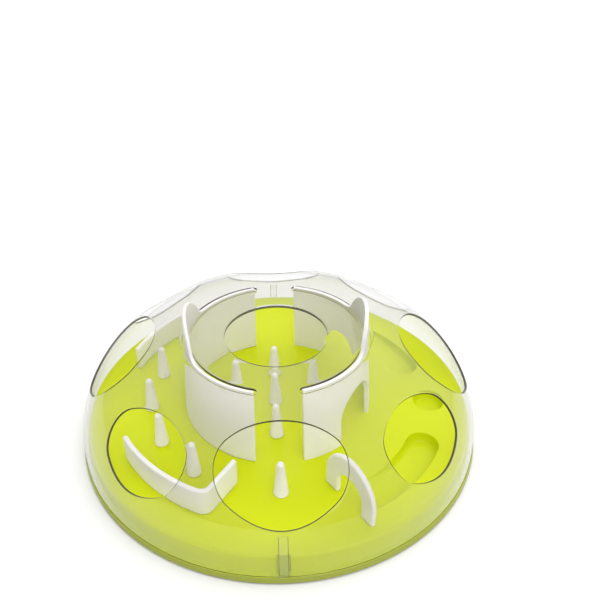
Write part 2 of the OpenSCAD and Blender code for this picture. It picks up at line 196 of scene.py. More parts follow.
def moulded_skin_group():
    """Cloud = large noise, which mixes the two colours; grain = fine noise, which sets roughness
    and height."""
    group = bpy.data.node_groups.new("moulded_skin", "ShaderNodeTree")
    for name, kind, way in SKIN_SOCKETS:
        group.interface.new_socket(name=name, in_out=way, socket_type="NodeSocket" + kind)
    given, out = group.nodes.new("NodeGroupInput"), group.nodes.new("NodeGroupOutput")
    place, cloud, grain, tint, gloss = add_nodes(
        group, "TexCoord", "TexNoise", "TexNoise", "Mix", "MapRange")
    tint.data_type = "RGBA"
    set_inputs(cloud, {"Scale": 14, "Detail": 3})
    set_inputs(grain, {"Scale": 900, "Detail": 2})
    link_all(group, (place.outputs["Object"], cloud.inputs["Vector"]),
             (place.outputs["Object"], grain.inputs["Vector"]),
             (cloud.outputs["Fac"], tint.inputs[MIX_SHARE]),
             (given.outputs["Colour"], tint.inputs[MIX_FROM]),
             (given.outputs["Deep colour"], tint.inputs[MIX_TO]),
             (grain.outputs["Fac"], gloss.inputs["Value"]),
             (given.outputs["Gloss low"], gloss.inputs["To Min"]),
             (given.outputs["Gloss high"], gloss.inputs["To Max"]),
             (tint.outputs[MIX_COLOUR], out.inputs["Colour"]),
             (gloss.outputs["Result"], out.inputs["Roughness"]),
             (grain.outputs["Fac"], out.inputs["Height"]))
    return group


moulded_skin = moulded_skin_group()
print("skin group:", len(moulded_skin.nodes), "nodes")

# %% [markdown]
# Each opaque plastic on the feeder is this skin with its own values: the lime tray, the white
# pieces, the black rubber of the feet and the cut edges of the cover, whose dark is painted shade.
# The tray has less shine than the rest, because a strong sheen would whiten its green.

# %% Moulded finishes


def moulded_finish(name, colour, deep, gloss, grain_depth, shine=0.35):
    """A Principled plastic whose colour, roughness and bump come from the moulded skin group."""
    finish = bpy.data.materials.new(name)
    finish.use_nodes = True
    tree = finish.node_tree
    plastic = tree.nodes["Principled BSDF"]
    skin, bump = add_nodes(tree, "Group", "Bump")
    skin.node_tree = moulded_skin
    set_inputs(skin, {"Colour": (*colour, 1), "Deep colour": (*deep, 1),
                      "Gloss low": gloss[0], "Gloss high": gloss[1]})
    set_inputs(bump, {"Strength": 0.25, "Distance": grain_depth * MM})
    set_inputs(plastic, {"IOR": 1.5, "Specular IOR Level": shine})
    link_all(tree, (skin.outputs["Colour"], plastic.inputs["Base Color"]),
             (skin.outputs["Roughness"], plastic.inputs["Roughness"]),
             (skin.outputs["Height"], bump.inputs["Height"]),
             (bump.outputs["Normal"], plastic.inputs["Normal"]))
    return finish


tray_green = moulded_finish("tray_green", (0.63, 0.715, 0.006), (0.60, 0.68, 0.004),
                            gloss=(0.20, 0.30), grain_depth=0.04, shine=0.2)
part_white = moulded_finish("part_white", (0.89, 0.87, 0.85), (0.86, 0.84, 0.82),
                            gloss=(0.30, 0.42), grain_depth=0.04)
foot_rubber = moulded_finish("foot_rubber", (0.035, 0.035, 0.035), (0.02, 0.02, 0.02),
                             gloss=(0.75, 0.9), grain_depth=0.1)
# Painted shade: the clear cover's cut edges get an opaque dark colour in place of the light they
# refract.
cover_edge_painted_shade = moulded_finish("cover_edge_painted_shade", (0.36, 0.34, 0.29), (0.30, 0.28, 0.24),
                            gloss=(0.25, 0.35), grain_depth=0.02)
print("finishes:", tray_green.name, part_white.name, foot_rubber.name, cover_edge_painted_shade.name)

# %% [markdown]
# Two finishes change over the object, both with painted shade. The tray's rim, outside the cover,
# is painted darker and greyer than the floor, as shade. The cover's cut edges carry painted shade
# in place of the light and dark that they would take from the room behind them: darkest at the
# front and paler at the rear. Both follow from the place on the object, so a fade along a distance
# does it, with no image texture.

# %% Fading finishes


def fade_along(finish, axis, start, end, colour):
    """Before the start, in mm along Y or out from the middle, a finish has another colour; past the
    end its own."""
    tree = finish.node_tree
    place, plan, reach, share, fade = add_nodes(
        tree, "TexCoord", "VectorMath", "VectorMath", "MapRange", "Mix")
    plan.operation, reach.operation = "MULTIPLY", "DOT_PRODUCT" if axis == "Y" else "LENGTH"
    fade.data_type = "RGBA"
    set_inputs(plan, {1: (1, 1, 0)})
    set_inputs(reach, {1: (0, 1, 0)})
    set_inputs(share, {"From Min": start * MM, "From Max": end * MM})
    set_inputs(fade, {MIX_FROM: (*colour, 1)})
    link_all(tree, (place.outputs["Object"], plan.inputs[0]),
             (plan.outputs["Vector"], reach.inputs[0]),
             (reach.outputs["Value"], share.inputs["Value"]),
             (share.outputs["Result"], fade.inputs[MIX_SHARE]),
             (tree.nodes["Group"].outputs["Colour"], fade.inputs[MIX_TO]),
             (fade.outputs[MIX_COLOUR], tree.nodes["Principled BSDF"].inputs["Base Color"]))


# Painted shade: the rim outside the cover is coloured darker and greyer than the floor.
fade_along(tray_green, "R", SKIRT_R + 0.2, SKIRT_R - 0.4, (0.36, 0.40, 0.06))
# Painted shade: the cover's cut edges are coloured darkest towards the front and paler towards the
# rear.
fade_along(cover_edge_painted_shade, "Y", 20, 90, (0.075, 0.065, 0.035))
print("faded:", tray_green.name, "at the rim,", cover_edge_painted_shade.name, "towards the front")

# %% [markdown]
# The cover is clear moulded plastic. Real refraction gives its bright veil at shallow angles, and
# a faint grey cast dulls what lies behind it. The Light Path node swaps in a Transparent shader
# for shadow rays only, so the tray below stays lit. The snap tongues lie behind the cover's own
# wall, so their plastic has hardly any cast.

# %% Clear finishes


def clear_finish(name, cast, deep_cast):
    """Clear plastic: a transmitting Principled shader, or plain transparency where a ray only asks
    for shadow."""
    finish = bpy.data.materials.new(name)
    finish.use_nodes = True
    tree = finish.node_tree
    plastic, out = tree.nodes["Principled BSDF"], tree.nodes["Material Output"]
    place, haze, rough, tint = add_nodes(tree, "TexCoord", "TexNoise", "MapRange", "Mix")
    path, open_air, choose = add_nodes(tree, "LightPath", "BsdfTransparent", "MixShader")
    tint.data_type = "RGBA"
    set_inputs(plastic, {"Transmission Weight": 1, "IOR": 1.4, "Metallic": 0})
    set_inputs(haze, {"Scale": 22, "Detail": 3})
    set_inputs(rough, {"To Min": 0.02, "To Max": 0.07})
    set_inputs(tint, {MIX_FROM: (*cast, 1), MIX_TO: (*deep_cast, 1)})
    set_inputs(open_air, {"Color": (0.93, 0.94, 0.93, 1)})
    link_all(tree, (place.outputs["Object"], haze.inputs["Vector"]),
             (haze.outputs["Fac"], rough.inputs["Value"]),
             (haze.outputs["Fac"], tint.inputs[MIX_SHARE]),
             (rough.outputs["Result"], plastic.inputs["Roughness"]),
             (tint.outputs[MIX_COLOUR], plastic.inputs["Base Color"]),
             (path.outputs["Is Shadow Ray"], choose.inputs[0]),
             (plastic.outputs["BSDF"], choose.inputs[1]),
             (open_air.outputs["BSDF"], choose.inputs[2]),
             (choose.outputs["Shader"], out.inputs["Surface"]))
    return finish


cover_clear = clear_finish("cover_clear", (0.89, 0.885, 0.875), (0.86, 0.855, 0.845))
tongue_clear = clear_finish("tongue_clear", (0.99, 0.99, 0.985), (0.97, 0.97, 0.965))
print("clear finishes:", cover_clear.name, tongue_clear.name)

# %% [markdown]
# Every shape below is a grid of points. The first helpers turn a grid into a patch of four-cornered
# faces, close a slab between two grids, and place points by radius, angle and height.

# %% Grid helpers


def grid_faces(rows, cols, closed=False):
    """Face (i, j) joins points (i, j), (i, j+1), (i+1, j+1) and (i+1, j); closed joins the last
    column to the first."""
    i, j = np.meshgrid(np.arange(rows - 1), np.arange(cols if closed else cols - 1), indexing="ij")
    k, this_row, next_row = (j + 1) % cols, i * cols, (i + 1) * cols
    corners = np.stack([this_row + j, this_row + k, next_row + k, next_row + j], -1)
    return corners.reshape(-1, 4)


def sheet_patch(points, closed=False):
    """One patch from a (rows, cols, 3) array of points."""
    rows, cols, _ = points.shape
    return points.reshape(-1, 3), grid_faces(rows, cols, closed)


def slab_patches(front, back):
    """A closed slab between two grids of one shape: both faces, and a strip along each of the four
    edges."""
    edges = [(front[0], back[0]), (front[-1], back[-1]),
             (front[:, 0], back[:, 0]), (front[:, -1], back[:, -1])]
    return [sheet_patch(front), sheet_patch(back)] + [sheet_patch(np.stack(pair)) for pair in edges]


def polar(radius, degrees):
    """Plan point or points at a radius and an angle in degrees."""
    turn = np.radians(degrees)
    return np.stack([radius * np.cos(turn), radius * np.sin(turn)], -1)


def at_height(plan, z):
    """Adds a height to plan points."""
    plan = np.asarray(plan, float)
    height = np.broadcast_to(np.asarray(z, float)[..., None], plan.shape[:-1] + (1,))
    return np.concatenate([plan, height], -1)


print("faces in a grid of 3 by 4 points:", len(grid_faces(3, 4)))

# %% [markdown]
# A drawn surface has no thickness. Solidify gives it a moulded wall, and Bevel rounds its sharp
# edges. Both could be drawn point by point, but with a modifier a wall or an edge is just one size.

# %% Wall and rounded edges
BEVEL_ANGLE = 40


def finish_shape(piece, wall, bevel, steps, even, painted_shade_edge):
    """Adds the wall, inwards from the drawn faces, and the rounded edges as modifiers."""
    if wall:
        shell = piece.modifiers.new("wall", "SOLIDIFY")
        shell.thickness, shell.offset, shell.use_even_offset = wall * MM, -1, even
        if painted_shade_edge:
            # The cut rim faces of the wall take the finish of painted shade.
            piece.data.materials.append(painted_shade_edge)
            shell.material_offset_rim = 1
    if bevel:
        round_off = piece.modifiers.new("rounded_edges", "BEVEL")
        round_off.width, round_off.segments = bevel * MM, steps
        round_off.limit_method, round_off.angle_limit = "ANGLE", math.radians(BEVEL_ANGLE)


print("edges are rounded from", BEVEL_ANGLE, "degrees")

# %% [markdown]
# One more helper joins patches into a piece. Seams are merged before a wall gets its thickness, and
# the modifiers are baked so that sharp edges are found on the final form. It also sets the body
# that the piece rides on.

# %% Piece helpers
MERGE, SLIVER = 0.02, 0.005


def make_piece(name, patches, finish, body, slot, sharp=38, wall=0.0, bevel=0.0, steps=3,
               even=True, painted_shade_edge=None):
    """Joins patches in mm into one mesh in metres, merges seams, turns faces outwards, shapes it
    and bakes it."""
    starts = np.cumsum([0] + [len(points) for points, _ in patches[:-1]])
    faces = sum([(f + s).tolist() for (_, f), s in zip(patches, starts)], [])
    mesh = bpy.data.meshes.new(name)
    mesh.from_pydata((np.vstack([points for points, _ in patches]) * MM).tolist(), [], faces)
    mesh.materials.append(finish)
    work = bmesh.new()
    work.from_mesh(mesh)
    bmesh.ops.remove_doubles(work, verts=work.verts, dist=MERGE * MM)
    bmesh.ops.dissolve_degenerate(work, edges=work.edges, dist=SLIVER * MM)
    bmesh.ops.recalc_face_normals(work, faces=work.faces)
    work.to_mesh(mesh)
    work.free()
    piece = bpy.data.objects.new(name, mesh)
    bpy.context.collection.objects.link(piece)
    finish_shape(piece, wall, bevel, steps, even, painted_shade_edge)
    bpy.context.view_layer.update()
    shaped = piece.evaluated_get(bpy.context.evaluated_depsgraph_get())
    baked = bpy.data.meshes.new_from_object(shaped)
    piece.modifiers.clear()
    piece.data = baked
    baked.shade_smooth()
    baked.set_sharp_from_angle(angle=math.radians(sharp))
    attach(piece, body)
    print(name, len(baked.polygons), "faces")
    return piece


def white_piece(name, patches, body, **shape):
    """A piece in the white finish of all the plug-in parts."""
    return make_piece(name, patches, part_white, body, "part_white", **shape)


print("seams are merged within", MERGE, "mm")

# %% [markdown]
# The dome is a surface of revolution: a flat crown, then a quarter circle that ends upright in the
# skirt. A lathe would make it in one go, but it is full of openings, so a function gives any point
# of it instead, from an angle round the cover and an angle down the curve.

# %% Dome surface
CROWN_R, DOME_R, COVER_TOP = 101.1, 86.9, 99.7
DOME_Z = COVER_TOP - DOME_R


def on_dome(around, down, inset=0.0):
    """Radius = crown radius + curve radius x sin(down); height = curve centre + curve radius x
    cos(down)."""
    curve = DOME_R - inset
    return at_height(polar(CROWN_R + curve * np.sin(np.radians(down)), around),
                     DOME_Z + curve * np.cos(np.radians(down)))


print("dome:", round(CROWN_R + DOME_R, 1), "mm radius,", COVER_TOP, "mm high")

# %% [markdown]
# The openings are ovals of four arcs, drawn flat in plan and then carried up onto the dome. An
# ellipse would be simpler, but its ends are more pointed than those of the real openings.

# %% Oval openings
OVAL_END, EDGE_POINTS = 0.72, 400
LARGE, SMALL = (147.5, 104.0, 65.5), (159.0, 87.0, 46.0)


def oval_edge(length, width, count):
    """Plan outline of an oval of four arcs: two small ends and two long flanks that touch them
    smoothly."""
    end_r = OVAL_END * width / 2
    reach = length / 2 - end_r
    flank_r = (reach ** 2 + width ** 2 / 4 - end_r ** 2) / (width - 2 * end_r)
    middle = flank_r - width / 2
    meet = np.arctan2(middle, reach)
    end_turn, flank_turn = np.linspace(-meet, meet, count), np.linspace(meet, np.pi - meet, count)
    end = np.stack([end_r * np.sin(end_turn), reach + end_r * np.cos(end_turn)], -1)
    flank = np.stack([flank_r * np.sin(flank_turn) - middle, flank_r * np.cos(flank_turn)], -1)
    return np.vstack([end[:-1], flank[:-1], -end[:-1], -flank[:-1]])


def opening_edge(radius, angle, length, width):
    """An oval opening's edge as (around, down) angles on the dome, from its plan outline."""
    plan = oval_edge(length, width, EDGE_POINTS) + [radius, 0]
    around = angle + np.degrees(np.arctan2(plan[:, 1], plan[:, 0]))
    out = np.clip((np.hypot(plan[:, 0], plan[:, 1]) - CROWN_R) / DOME_R, 0, 1)
    return np.stack([around, np.degrees(np.arcsin(out))], -1)


print("openings:", LARGE[1:], "and", SMALL[1:], "mm")

# %% [markdown]
# Eight openings, large and small by turns, go round the dome. A lathe shape with boolean holes
# would leave ragged edges, so the dome is woven as eight panels instead, each a grid that runs
# from the edge of one opening out to a four-sided frame.

# %% Dome panels
OPENINGS = [(-90, LARGE), (-43, SMALL), (-2, LARGE), (46.6, SMALL),
            (90, LARGE), (137, SMALL), (178, LARGE), (226.6, SMALL)]
BOUNDS = [-113.8, -64.4, -24.6, 24.4, 66.2, 115.6, 155.4, 204.4, 246.2]
DOWN_TOP, DOWN_LOW, ALONG, BESIDE = 2.4, 76.0, 34, 30
GRID_LINES, EDGE_CROWDING = 11, 1.25


def way_from(points, middle, half):
    """Direction of each point from the middle, after both axes are scaled to the opening's half
    size."""
    return np.arctan2(*((points - middle) / half).T[::-1])


def dome_panel(opening, start, end):
    """Each line runs straight, in (around, down) angles, from the opening's edge to the frame in
    the same direction."""
    angle, (radius, length, width) = opening
    across = np.linspace(start, end, ALONG + 1)
    down = np.linspace(DOWN_TOP, DOWN_LOW, BESIDE + 1)
    frame_edge = np.vstack([np.stack([across, np.full_like(across, DOWN_TOP)], -1)[:-1],
                            np.stack([np.full_like(down, end), down], -1)[:-1],
                            np.stack([across[::-1], np.full_like(across, DOWN_LOW)], -1)[:-1],
                            np.stack([np.full_like(down, start), down[::-1]], -1)[:-1]])
    edge = opening_edge(radius, angle, length, width)
    middle, half = (edge.max(0) + edge.min(0)) / 2, (edge.max(0) - edge.min(0)) / 2
    edge_way, frame_way = way_from(edge, middle, half), way_from(frame_edge, middle, half)
    order = np.argsort(edge_way)
    inner = np.stack([np.interp(frame_way, edge_way[order], edge[order, k], period=2 * np.pi)
                      for k in (0, 1)], -1)
    share = (np.linspace(0, 1, GRID_LINES) ** EDGE_CROWDING)[:, None, None]
    lines = inner * (1 - share) + frame_edge * share
    return sheet_patch(on_dome(lines[..., 0], lines[..., 1]), closed=True)


dome_patches = [dome_panel(o, a, b) for o, a, b in zip(OPENINGS, BOUNDS[:-1], BOUNDS[1:])]
print("dome panels:", len(dome_patches))

# %% [markdown]
# The flat crown carries the round top opening and the two long slots that the wall panels stand
# in. Its columns are split at the slots' ends, so that the slots and the bridges between them fall
# on whole columns. For the meeting with the dome, each is paired with the nearest column there.

# %% Crown columns
SLOT_END = 75.1
half_turn = np.concatenate([np.linspace(-SLOT_END, SLOT_END, 121)[:-1],
                            np.linspace(SLOT_END, 180 - SLOT_END, 17)[:-1]])
crown_turn = np.concatenate([half_turn, half_turn + 180])
frame_turn = np.concatenate([np.linspace(a, b, ALONG + 1)[:-1]
                             for a, b in zip(BOUNDS[:-1], BOUNDS[1:])])


def turn_between(a, b):
    """The angle from a to b, from -180 up to 180 degrees."""
    return (b - a + 180) % 360 - 180


turn_gaps = [np.abs(turn_between(crown_turn, np.roll(frame_turn, -k))).max()
             for k in range(len(frame_turn))]
frame_turn = np.roll(frame_turn, -int(np.argmin(turn_gaps)))
frame_turn = crown_turn + turn_between(crown_turn, frame_turn)
print("crown columns:", len(crown_turn), "paired within", round(min(turn_gaps), 2), "degrees")

# %% [markdown]
# Flat rings of grid fill the crown: one inside the slots, the two bridges between the slots' round
# ends, and one outside the slots, which ends where the panels of the dome start. Slots cut out of
# a plain disc would have ragged edges.

# %% Crown rings
TOP_OPENING_R, SLOT_IN_R, SLOT_OUT_R = 48.2, 80.085, 87.38
slot_mid, slot_half = (SLOT_IN_R + SLOT_OUT_R) / 2, (SLOT_OUT_R - SLOT_IN_R) / 2


def flat_ring(radii, turn_in, turn_out):
    """A ring of the crown: each row has one radius, and its angles pass evenly from the inner to
    the outer set."""
    share = np.linspace(0, 1, len(radii))[:, None]
    turn = turn_in * (1 - share) + turn_out * share
    radius = np.broadcast_to(np.asarray(radii)[:, None], turn.shape)
    edge = np.clip((radius - CROWN_R) / DOME_R, 0, 1)
    height = DOME_Z + DOME_R * np.sqrt(1 - edge ** 2)
    return sheet_patch(at_height(polar(radius, turn), height), closed=True)


def slot_bridge(turn):
    """The crown between two slots: at each radius it runs from one slot's half-round end to the
    other's."""
    radius = slot_mid - slot_half * np.cos(np.linspace(0, np.pi, 25))
    end_reach = np.sqrt(np.maximum(slot_half ** 2 - (radius - slot_mid) ** 2, 0))
    bulge = np.degrees(end_reach / radius)[:, None]
    share = np.linspace(0, 1, 17)[None, :]
    angles = turn + (SLOT_END + bulge) * (1 - share) + (180 - SLOT_END - bulge) * share
    return sheet_patch(at_height(polar(np.broadcast_to(radius[:, None], angles.shape), angles),
                                 np.full(angles.shape, COVER_TOP)))


frame_r = CROWN_R + DOME_R * math.sin(math.radians(DOWN_TOP))
crown_patches = [flat_ring(np.linspace(TOP_OPENING_R, SLOT_IN_R, 9), crown_turn, crown_turn),
                 slot_bridge(0), slot_bridge(180),
                 flat_ring(np.linspace(SLOT_OUT_R, frame_r, 6), crown_turn, frame_turn)]
print("crown patches:", len(crown_patches))

# %% [markdown]
# Below the panels the dome runs on into an upright skirt that stands on the tray's ledge. It keeps
# the columns of the dome, so the two join with no gap.

# %% Skirt
SKIRT_MID_Z, SKIRT_GAP = 9, 0.1
skirt_down = np.linspace(DOWN_LOW, 90, 7)[:, None]
skirt_shape = (len(skirt_down), len(frame_turn))
skirt_top = on_dome(np.broadcast_to(frame_turn, skirt_shape),
                    np.broadcast_to(skirt_down, skirt_shape))
skirt_plan = polar(np.full_like(frame_turn, SKIRT_R), frame_turn)
skirt_foot = np.stack([at_height(skirt_plan, np.full_like(frame_turn, z))
                       for z in (DOME_Z, SKIRT_MID_Z, LEDGE_Z + SKIRT_GAP)])
skirt_patches = [sheet_patch(skirt_top, closed=True), sheet_patch(skirt_foot, closed=True)]
print("skirt columns:", len(frame_turn))

# %% [markdown]
# Now the whole cover is joined, and Solidify gives its wall, with the finish of painted shade on
# the cut faces. An inner face drawn by hand would come out the same, with twice the work.

# %% Whole cover
COVER_WALL = 2.1
cover = make_piece("cover_dome", dome_patches + crown_patches + skirt_patches, cover_clear,
                   "cover", "cover_clear", wall=COVER_WALL, bevel=0.4, steps=2,
                   painted_shade_edge=cover_edge_painted_shade)
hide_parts("clear_cover")

# %% [markdown]
# Not every cut face gets the painted shade. The foot of the skirt and the outer side of the slots
# stay clear, because there the real cover shows no dark line. Faces can be picked by hand in Edit
# Mode, but a test on their middles picks them all at once.

# %% Clear cut faces
CLEAR_FOOT, CLEAR_SLOT = 1, 2


def face_middles(piece):
    """The middle of every face of a piece, in mm, as one array."""
    middles = np.empty(3 * len(piece.data.polygons))
    piece.data.polygons.foreach_get("center", middles)
    return middles.reshape(-1, 3) / MM


face_x, face_y, face_z = face_middles(cover).T
face_r = np.hypot(face_x, face_y)
face_finish = np.empty(len(face_r), int)
cover.data.polygons.foreach_get("material_index", face_finish)
at_slot = (face_r > slot_mid) & (face_r < SLOT_OUT_R + CLEAR_SLOT)
face_finish[(face_z < LEDGE_Z + CLEAR_FOOT) | at_slot] = 0
cover.data.polygons.foreach_set("material_index", face_finish)
print("dark cut faces:", int((face_finish == 1).sum()))

# %% [markdown]
# A springy tongue inside the skirt, at the front and the rear, snaps the cover onto the tray. Each
# is a thin curved slab that follows the inside of the dome, so its two faces are the same grid on
# two smaller domes. Its long edges show as two thin dark lines of painted shade: the outermost
# columns of the grid are narrow and take the edge finish.

# %% Snap tongues
TONGUE_W, TONGUE_TOP, TONGUE_EDGE, TONGUE_MID, TONGUE_GAP = 7.6, 43.2, 0.9, 3, 0.3
TONGUE_INSET, TONGUE_THIN, TONGUE_SWELL, SWELL_TURN = 2.35, 2.45, 1.15, 9


def snap_tongue(turn):
    """Two grids on domes inset by the wall and by wall and tongue, which thins out to its top; rows
    go top to ledge."""
    top_down = math.degrees(math.acos((TONGUE_TOP - DOME_Z) / (DOME_R - TONGUE_MID)))
    down = np.linspace(top_down, 90, 24)
    half = math.degrees(TONGUE_W / 2 / (SKIRT_R - TONGUE_MID))
    around = turn + half * np.array([-1, -TONGUE_EDGE, -0.5, 0, 0.5, TONGUE_EDGE, 1])
    swell = np.clip((down - top_down) / SWELL_TURN, 0, 1)[:, None]
    faces = []
    for inset in (TONGUE_INSET, TONGUE_THIN + TONGUE_SWELL * swell):
        grid = on_dome(*np.meshgrid(around, down), inset)
        foot = grid[-1:].copy()
        foot[..., 2] = LEDGE_Z + TONGUE_GAP
        faces.append(np.concatenate([grid, foot]))
    return slab_patches(*faces)


tongues = make_piece("snap_tongues", snap_tongue(-90) + snap_tongue(90), tongue_clear,
                     "cover", "cover_clear")
# The tongue's edge columns take the same painted shade as the cover's cut edges.
tongues.data.materials.append(cover_edge_painted_shade)
at_side = np.abs(face_middles(tongues)[:, 0]) > TONGUE_EDGE * TONGUE_W / 2
tongues.data.polygons.foreach_set("material_index", at_side.astype(int))
print("tongue edge faces:", int(at_side.sum()))

# %% [markdown]
# The two white wall panels stand round the middle well and lean in a little. Seen flat, a panel
# is a long strip whose top edge rises to a round ear. The ear is a circle, and a smaller hollow
# circle eases it into the plain edge. A spline would do too, but circles give the height at once.

# %% Panel outline
WELL_R, LEAN, PANEL_TOP = 89.4, 3.4, 100.5
EAR_TOP, EAR_R, EAR_BLEND = 130.68, 40.0, 12.0


def panel_r(z):
    """Outer radius of a panel at a height: it leans in evenly between the floor and the cover's
    top."""
    return WELL_R - LEAN * (z - FLOOR_Z) / (COVER_TOP - FLOOR_Z)


def ear_top(across):
    """Height of the top edge: the plain edge, or the ear's circle, joined by a hollow circle that
    touches both."""
    ear_z, blend_z = EAR_TOP - EAR_R, PANEL_TOP + EAR_BLEND
    blend_y = math.sqrt((EAR_R + EAR_BLEND) ** 2 - (blend_z - ear_z) ** 2)
    touch = EAR_R / (EAR_R + EAR_BLEND) * blend_y
    y = np.abs(across)
    ear = ear_z + np.sqrt(np.maximum(EAR_R ** 2 - y ** 2, 0))
    blend = blend_z - np.sqrt(np.maximum(EAR_BLEND ** 2 - (y - blend_y) ** 2, 0))
    return np.where(y < touch, ear, np.where(y < blend_y, blend, PANEL_TOP))


def top_of(angles):
    """Top height at each angle; the ear's sideways place depends on the lean, so it is settled in
    three passes."""
    top = np.full_like(angles, PANEL_TOP)
    for _ in range(3):
        top = ear_top(panel_r(top) * np.sin(np.radians(angles)))
    return top


print("ear:", round(EAR_TOP - PANEL_TOP, 1), "mm above the plain edge")

# %% [markdown]
# A strip cut from a flat sheet and bent would lose the lean, so a panel is a grid of angle by
# height instead, whose radius follows the height. The left panel is one such grid.

# %% Left wall panel
PANEL_T, PANEL_END, PANEL_ROUND = 3.4, 76.0, 1.1
FOOT_Z = FLOOR_Z + 0.05


def panel_grid(angles, low, high, rows, turn):
    """Rows share out the height between the low and the high edge; radius follows the lean."""
    z = low + (high - low) * np.linspace(0, 1, rows)[:, None]
    return sheet_patch(at_height(polar(panel_r(z), np.broadcast_to(angles + turn, z.shape)), z))


fine_ends = np.linspace(-PANEL_END, PANEL_END, 181)
left_strip = panel_grid(fine_ends, np.full_like(fine_ends, FOOT_Z), top_of(fine_ends), 26, 180)
left_panel = white_piece("left_panel", [left_strip], "left_wall_panel_body",
                         wall=PANEL_T, bevel=PANEL_ROUND, steps=4)
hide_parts("left_wall_panel")

# %% [markdown]
# Each panel plugs into the floor with three short tabs. A tab is a piece of a ring, a little
# thinner than the panel, so its two faces are the same grid at two radii.

# %% Panel tabs
TAB_IN_R, TAB_OUT_R = WELL_R - PANEL_T + 0.5, WELL_R - 0.5
TAB_TURNS, TAB_HALF, PLUG_Z = (-62, 4, 62), 6, FLOOR_Z - 4


def panel_tabs(turn):
    """The plug tabs under a panel, as curved slabs between two radii."""
    tabs, shape = [], (4, 9)
    half = math.degrees(TAB_HALF / WELL_R)
    z = np.broadcast_to(np.linspace(PLUG_Z, FLOOR_Z + 1, shape[0])[:, None], shape)
    for middle in TAB_TURNS:
        around = np.broadcast_to(turn + middle + np.linspace(-half, half, shape[1]), shape)
        tabs += slab_patches(*[at_height(polar(np.full(shape, r), around), z)
                               for r in (TAB_IN_R, TAB_OUT_R)])
    return tabs


white_piece("left_panel_tabs", panel_tabs(180), "left_wall_panel_body")

# %% [markdown]
# The right panel has two archways, a large one towards the front and a low one behind it. Cutting
# them out would again leave ragged edges, so the strip is an upper band whose lower edge follows
# the arches, and three legs under it.

# %% Right wall panel
BIG_ARCH, LOW_ARCH, ARCH_R = (-35.0, 25.0, 76.2), (38.6, 21.5, 61.5), WELL_R - 2


def arch_span(angle, radius, crown_z, count):
    """Angles across an archway, the height of its half-round edge above them, and where its legs
    end."""
    turn = np.linspace(np.pi, 0, count)
    spring = crown_z - radius
    across = angle + np.degrees(np.arcsin(radius * np.cos(turn) / ARCH_R))
    return across, spring + radius * np.sin(turn), spring


big_a, big_z, big_spring = arch_span(*BIG_ARCH, 61)
low_a, low_z, low_spring = arch_span(*LOW_ARCH, 49)
leg_a = [np.linspace(-PANEL_END, big_a[0], 26), np.linspace(big_a[-1], low_a[0], 42),
         np.linspace(low_a[-1], PANEL_END, 30)]
leg_z = [np.full(26, big_spring), np.linspace(big_spring, low_spring, 42), np.full(30, low_spring)]
band_a = np.concatenate([leg_a[0][:-1], big_a[:-1], leg_a[1][:-1], low_a[:-1], leg_a[2]])
band_z = np.concatenate([leg_z[0][:-1], big_z[:-1], leg_z[1][:-1], low_z[:-1], leg_z[2]])
right_strips = [panel_grid(band_a, band_z, top_of(band_a), 18, 0)]
right_strips += [panel_grid(a, np.full_like(z, FOOT_Z), z, 9, 0) for a, z in zip(leg_a, leg_z)]
right_panel = white_piece("right_panel", right_strips, "right_wall_panel_body",
                          wall=PANEL_T, bevel=PANEL_ROUND, steps=4)
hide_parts("right_wall_panel")
white_piece("right_panel_tabs", panel_tabs(0), "right_wall_panel_body")

# %% [markdown]
# A peg is turned: a short foot, a long taper and a round tip, with a plug below the floor. Its
# half outline is swept round its own axis, and the same outline serves all twelve pegs. Seven
# stand in the well, as a ring round a middle one, and five on the lane outside it.

# %% Pegs
PEG_H, PEG_R, TIP_R, PLUG_R = 34.5, 6.5, 3.3, 3
WELL_PEG, RING_R, LANE_R = (-2, -9), 44.0, 122.0
LANE_TURNS = np.array([-90, -127.5, -151, -174.5, -198])


def turned(profile, place, count=40):
    """A half outline of (radius, height) swept round an upright axis at a place in plan."""
    radius, z = np.asarray(profile, float).T
    shape = (len(radius), count)
    turn = np.broadcast_to(np.linspace(0, 360, count, endpoint=False), shape)
    plan = polar(np.broadcast_to(radius[:, None], shape), turn) + np.asarray(place)
    return sheet_patch(at_height(plan, np.broadcast_to(z[:, None], shape)), closed=True)


def arc(across, height, radius, start, end, count):
    """Points of a circle in an upright plane, round (across, height), between two angles."""
    turn = np.linspace(start, end, count)
    return np.stack([across + radius * np.cos(turn), height + radius * np.sin(turn)], -1)


peg_tip = arc(0, FLOOR_Z + PEG_H - TIP_R, TIP_R, 0, np.pi / 2, 9)
peg_plug = [[0, PLUG_Z], [PLUG_R - 0.5, PLUG_Z], [PLUG_R, PLUG_Z + 0.5], [PLUG_R, FOOT_Z]]
peg_foot = [[PEG_R - 0.5, FOOT_Z], [PEG_R, FLOOR_Z + 0.5], [PEG_R, FLOOR_Z + 1.3],
            [PEG_R - 0.2, FLOOR_Z + 1.7]]
peg_outline = np.vstack([peg_plug, peg_foot, peg_tip])
well_ring = polar(np.full(6, RING_R), -90 + 60 * np.arange(6)) + WELL_PEG
lane_pegs = polar(np.full(5, LANE_R), LANE_TURNS)
peg_places = np.vstack([[WELL_PEG], well_ring, lane_pegs])
for number, place in enumerate(peg_places, 1):
    peg = white_piece(f"peg_{number}_turned", [turned(peg_outline, place)], f"peg_{number}_body",
                      sharp=50)
    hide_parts(f"peg_{number}")

# %% [markdown]
# The barriers are upright strips with rounded edges. A strip is its middle line carried sideways
# by half its thickness and upwards by its height, and Bevel then rounds every edge of it. Small
# pins below plug it into the floor. A curve with a bevel object could sweep the strip as well, but
# arrays give its exact thickness.

# %% Barrier helpers
BARRIER_T, BARRIER_H, PIN_R, PIN_SIDES = 4.4, 26.0, 1.8, 24
pin_outline = [[0, PLUG_Z], [PIN_R - 0.4, PLUG_Z], [PIN_R, PLUG_Z + 0.4],
               [PIN_R, FLOOR_Z + 1], [0, FLOOR_Z + 1]]


